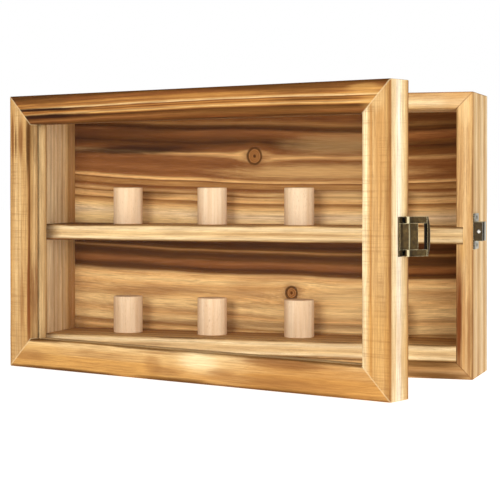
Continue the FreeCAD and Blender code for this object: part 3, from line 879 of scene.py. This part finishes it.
def case_walls():
    """The four mitred walls, housed for the upper shelf."""
    panel_low, panel_high = box_in("back_panel")
    shelf_low, shelf_high = box_in("upper_shelf")
    for index, side in enumerate(ACROSS):
        node = "case_" + side
        place = Place(node, side)
        thickness = panel_high.y - panel_low.y
        outer = box_in("case_left")[0].x
        reach = place.width - (panel_low.x - outer)
        section = rebated(place.width, place.depth, reach, thickness)
        wall = board(node + "_board", place, section, 1.0, seed=index)
        if side in ("left", "right"):
            room = Vector((HOUSING_GAP,) * 3)
            run = Vector((0, HOUSING_RUN, 0))
            cut(wall, box_cutter(shelf_low - room - run, shelf_high + room))
        look = CASE_LOOKS[side].like(mitre=place.length / 2 / MM)
        place_board(wall, "case", node, look, place)


def pegs_of(row):
    return ["peg_%s_%d" % (row, index + 1) for index in range(4)]


def tenon_cutter(node, top):
    bottom = box_in(node)[0].z - HOUSING_GAP
    centre = middle_of(node)
    centre.z = 0
    radius = PEG_TENON + HOUSING_GAP
    return turned("cutter", [(radius, bottom), (radius, top + MM)], centre)


def shelves():
    for index, row in enumerate(("upper", "lower")):
        node = row + "_shelf"
        place = Place(node, "top")
        shelf = board(node + "_board", place, rectangle(place.width, place.depth), 0.0, seed=20 + index)
        top = box_in(node)[1].z
        cut(shelf, *[tenon_cutter(peg, top) for peg in pegs_of(row)])
        place_board(shelf, "case", node, SHELF_LOOKS[row], place)


def back_panel():
    place = Place("back_panel", "top")
    panel = board("back_panel_board", place, rectangle(place.width, place.depth), 0.0, edge=0.3 * MM)
    place_board(panel, "case", "back_panel", PANEL_LOOK, place)


def peg_profile(radius, bottom, shelf_top, top):
    """(radius, height) points of a dowel and the tenon below it, bottom to top."""
    profile = [(PEG_TENON - TENON_EASE, bottom), (PEG_TENON, bottom + TENON_EASE),
               (PEG_TENON, shelf_top - 0.02 * MM), (PEG_TENON + 0.1 * MM, shelf_top),
               (radius - PEG_FOOT, shelf_top), (radius, shelf_top + PEG_FOOT)]
    profile += [(radius, shelf_top + (top - shelf_top) * k / 8) for k in range(1, 8)]
    for k in range(7):
        angle = math.radians(15 * k)
        profile.append((radius - PEG_RIM * (1 - math.cos(angle)), top - PEG_RIM * (1 - math.sin(angle))))
    return profile + [(radius * share, top) for share in (0.75, 0.5, 0.25, 0.05)]


def pegs(material):
    for row in ("upper", "lower"):
        shelf_top = box_in(row + "_shelf")[1].z
        for node in pegs_of(row):
            low, high = box_in(node)
            centre = middle_of(node)
            centre.z = 0
            profile = peg_profile((high.x - low.x) / 2, low.z, shelf_top, high.z)
            peg = turned(node + "_dowel", profile, centre, ragged=0.004)
            place_piece(peg, "case", [node], material)


def door_frame():
    looks = {"top_rail": DOOR_TOP_LOOK, "bottom_rail": DOOR_BOTTOM_LOOK,
             "left_stile": DOOR_LEFT_LOOK, "right_stile": DOOR_RIGHT_LOOK}
    pane_low = box_in("pane", AJAR)[0]
    bead_low = box_in("pane_bead_left", AJAR)[0]
    for index, (part, look) in enumerate(looks.items()):
        node = "door_" + part
        place = Place(node, part.split("_")[0], AJAR)
        low = box_in(node, AJAR)[0]
        outer = box_in("door_left_stile", AJAR)[0].x
        rebate_width = place.width - (bead_low.x - outer)
        rebate_depth = place.depth - (pane_low.y - low.y)
        section = rebated(place.width, place.depth, rebate_width, rebate_depth)
        member = board(node + "_board", place, section, 1.0, seed=40 + index)
        look = look.like(mitre=place.length / 2 / MM)
        place_board(member, "door", node, look, place)


def beads():
    for index, side in enumerate(ACROSS):
        node = "pane_bead_" + side
        place = Place(node, side, AJAR)
        bead = board(node + "_strip", place, rectangle(place.width, place.depth), 1.0,
                     edge=0.45 * MM, seed=50 + index)
        look = BEAD_LOOK.like(seed=60.0 + index)
        if side == "top":
            look = look.like(side=[(0, SEPIA), (6, BROWN)])
        place_board(bead, "door", node, look, place)


def pane(material):
    place = Place("pane", "top", AJAR)
    sheet = board("pane_sheet", place, rectangle(place.width, place.depth), 0.0, edge=0.15 * MM, wear=0)
    place_piece(sheet, "door", ["pane"], material)


def eased_metal(shown, material, width=0.16):
    """Give a metal piece its material, and ease its edges."""
    shown.data.materials.clear()
    shown.data.materials.append(material)
    modifier = shown.modifiers.new("eased", "BEVEL")
    modifier.width = width * MM
    modifier.segments = 2
    modifier.limit_method = "ANGLE"
    modifier.angle_limit = math.radians(35)
    return shown


def vectors(*pairs):
    return [Vector(pair) for pair in pairs]


def scaled(outline):
    return [Vector(point) * MM for point in outline]


def latch_base(metal, dark_metal):
    """The door's half of the latch: a notched plate, a strap folded over the pin, and dark floors in the
    notches, which are painted shade.
    """
    low, high = box_in("latch_base", AJAR)
    pin = middle_of("latch_pin", AJAR)
    place = AJAR @ Matrix.Translation(pin)
    wood_face = (low.x - pin.x) / MM
    front = (low.y - pin.y) / MM
    rear = (box_in("latch_pin", AJAR)[1].y - pin.y) / MM + LATCH_BEHIND
    half = (high.z - low.z) / 2 / MM
    strap = half - LATCH_ARM
    outer_face = wood_face + LATCH_SHEET
    start, stop = LATCH_NOTCH
    outline = [(front, -half), (start, -half), (start, -strap), (stop, -strap), (stop, -half), (rear, -half),
               (rear, half), (stop, half), (stop, strap), (start, strap), (start, half), (front, half)]
    plate = pressed("plate", [(x * MM, scaled(outline)) for x in (wood_face, outer_face)], place, "YZX")
    # the strap lies on the plate, folds over the pin and ends in a tail that stands out
    path = vectors((outer_face - 0.1, front + 0.1), (outer_face - 0.1, -3.4), (-1.15, -2.55))
    path += arc(0.93, -45, 15, 8) + vectors((0.86, 0.66), (0.97, 1.07), (3.17, 5.78))
    outlines = []
    for k in range(9):
        share = k / 4 - 1
        outline = scaled(sheet_outline(path, STRAP_SHEET - STRAP_THINNING * share * share))
        outlines.append((share * (strap - 0.1) * MM, outline))
    base = joined("latch_base_plate", [plate, pressed("strap", outlines, place)])
    place_piece(eased_metal(base, metal, 0.1), "door", ["latch_base"], metal)
    # painted shade: a dark sheet lies in each notch where shade falls under the loop's rolls
    for sign, word in ((-1, "lower"), (1, "upper")):
        z0, z1 = sorted((sign * (strap + 0.1) * MM, sign * (half - 0.1) * MM))
        floor = [(wood_face + 0.02, start + 0.05), (wood_face + 0.14, start + 0.05),
                 (wood_face + 0.14, stop - 0.05), (wood_face + 0.02, stop - 0.05)]
        shade_floor = pressed("latch_base_recess_" + word, [(z, scaled(floor)) for z in (z0, z1)], place)
        place_piece(shade_floor, "door", [], dark_metal)


def latch_loop(metal):
    """The loop: two arms rolled round the pin, and a bowed bar with a folded lip."""
    low, high = box_in("latch_pin", AJAR)
    half = (high.z - low.z) / 2 / MM
    lift = Matrix.Rotation(math.radians(-LATCH_LIFT), 4, "Z")
    place = AJAR @ Matrix.Translation(middle_of("latch_pin", AJAR)) @ lift
    outlines = []
    for k in range(17):
        share = k / 8 - 1
        bow = LOOP_BOW * (1 - share * share)
        section = [(-0.55, 11.7), (-0.05, 11.7), (-0.05, 12.6), (0.95, 12.9), (0.98, 13.3),
                   (0.75, 13.65 + 0.6 * bow), (0.15, 14.0 + bow), (-0.3, 14.0 + bow), (-0.55, 13.7 + bow)]
        outlines.append((share * half * MM, scaled(section)))
    pieces = [pressed("bar", outlines, place)]
    for sign in (-1, 1):
        z0, z1 = sorted((sign * (half - LATCH_ARM) * MM, sign * (half - 0.03) * MM))
        path = arc(0.97, -250, 20, 26) + vectors((0.35, 1.9), (-0.05, 3.0), (-0.15, 4.2), (-0.15, 13.0))
        outline = scaled(sheet_outline(path, LOOP_SHEET))
        pieces.append(pressed("arm", [(z, outline) for z in (z0, z1)], place))
    loop = joined("latch_loop_plate", pieces)
    place_piece(eased_metal(loop, metal, 0.1), "latch_loop", ["latch_loop"], metal)


def keeper():
    """The case's half of the latch: its catch dark, with a painted pale reflection on its wings and outer
    face, and a small stud on the front whose near-white colour is a painted highlight.
    """
    low, high = box_in("keeper")
    middle = (low.z + high.z) / 2
    half = CATCH_HEIGHT / 2
    metal = keeper_bronze(middle / MM - half, middle / MM + half, low.y / MM + KEEPER_DARK)
    eased_metal(frame["nodes"]["keeper"], metal)
    # the catch's front face slopes back, and the stud sits part of the way up it
    across = high.x - STUD_INSET * MM
    outlines = []
    for back, radius in ((1.2, 1.3), (0.5, 1.3), (0.0, 0.5)):
        outline = [Vector((across, middle)) + corner * MM for corner in arc(radius, 0, 270, 3)]
        outlines.append((low.y + back * MM, outline))
    stud = pressed("keeper_stud", outlines, axes="XZY")
    # the stud's near-white steel is a painted highlight
    place_piece(stud, "case", [], steel("stud_steel", 1.5, 0.2))


def hardware(metal, dark_metal, pale_metal):
    """The latch, and the finish of the metal pieces that keep their CAD shapes."""
    # the strap's and the loop's rolls get painted highlights, and the loop's bar a painted shadow on its
    # inner edge
    latch_base(rolled_bronze("strap_bronze", (1.35, -0.15, 0.75)), dark_metal)
    latch_loop(rolled_bronze("loop_bronze", (1.2, -0.15, 1.1), (11.5, 12.95, 7.5)))
    keeper()
    for node, shown in frame["nodes"].items():
        if node == "keeper_nails":
            eased_metal(shown, dark_metal)
        elif node.startswith(("hinge_", "latch_pin", "latch_nails")):
            eased_metal(shown, metal)
    eased_metal(frame["nodes"]["back_brads"], pale_metal, 0.08)


# ---------------- studio

SKY_LIGHT = 0.30            # how much the white backdrop lights the object
LIT_POINT = (0, 0, 0.09)    # where the lights aim
CAMERA_PLACE = (0.3226, -1.0233, 0.1214)
CAMERA_TILT = -0.41         # degrees up from level
CAMERA_TURN = 17.68         # degrees that it is turned left from the +Y axis
CAMERA_LENS = 115.6         # mm, with a sensor 36 mm wide
CAMERA_SHIFT = -0.106       # how far the frame is moved up, as a share of its width


def add_backdrop():
    """A white world, which lights the object less than it shows."""
    world = bpy.data.worlds.new("studio")
    world.use_nodes = True
    tree = world.node_tree
    shine = tree.nodes["Background"]
    shine.inputs["Color"].default_value = (1, 1, 1, 1)
    path = tree.nodes.new("ShaderNodeLightPath")
    level = tree.nodes.new("ShaderNodeMapRange")
    level.inputs["To Min"].default_value = SKY_LIGHT
    level.inputs["To Max"].default_value = 1.0
    tree.links.new(path.outputs["Is Camera Ray"], level.inputs["Value"])
    tree.links.new(level.outputs["Result"], shine.inputs["Strength"])
    bpy.context.scene.world = world


def area_light(name, place, size, power):
    data = bpy.data.lights.new(name, "AREA")
    data.shape = "RECTANGLE"
    data.size, data.size_y = size
    data.energy = power
    made = add_object(name, data)
    made.location = place
    made.rotation_mode = "QUATERNION"
    made.rotation_quaternion = (Vector(LIT_POINT) - Vector(place)).to_track_quat("-Z", "Y")


def add_camera():
    data = bpy.data.cameras.new("camera")
    data.lens = CAMERA_LENS
    data.sensor_width = 36
    data.shift_y = CAMERA_SHIFT
    camera = add_object("camera", data)
    camera.location = CAMERA_PLACE
    camera.rotation_euler = (math.radians(90 + CAMERA_TILT), 0, math.radians(CAMERA_TURN))
    bpy.context.scene.camera = camera


def add_floor():
    """A pale floor that glows a little, so that it stays near white under soft light."""
    mesh = bmesh.new()
    bmesh.ops.create_grid(mesh, x_segments=2, y_segments=2, size=6)
    floor = finished(mesh, "floor")
    g = Graph("floor")
    g.set("Emission Color", (1, 1, 1, 1))
    g.set("Emission Strength", 0.8)
    g.set("Specular IOR Level", 0.0)
    grain = g.noise((0.02, 0.02, 0.02), 70)
    colour = g.ramp(grain, [(0, tone(244, 243, 241)), (1, tone(250, 249, 247))])
    floor.data.materials.append(g.finish(colour, 0.9))


def studio():
    bpy.context.scene.view_settings.view_transform = "Standard"
    add_backdrop()
    area_light("key", (-0.05, -1.9, 0.42), (0.6, 0.5), 18)
    area_light("fill", (0.95, -1.75, 0.3), (0.9, 0.7), 9.5)
    area_light("right", (1.5, -0.7, 0.4), (0.7, 0.9), 6)
    add_camera()
    add_floor()


beech_wood = beech()
bronze_metal = brightened_bronze(*bronze())
# a darker copy of the bronze, for the keeper's nails and for the floors painted as shade in the latch's
# notches
dark_bronze = brightened_bronze(*bronze("dark_bronze", 0.6))
case_walls()
back_panel()
shelves()
pegs(beech_wood)
door_frame()
beads()
pane(acrylic())
hardware(bronze_metal, dark_bronze, steel())
studio()
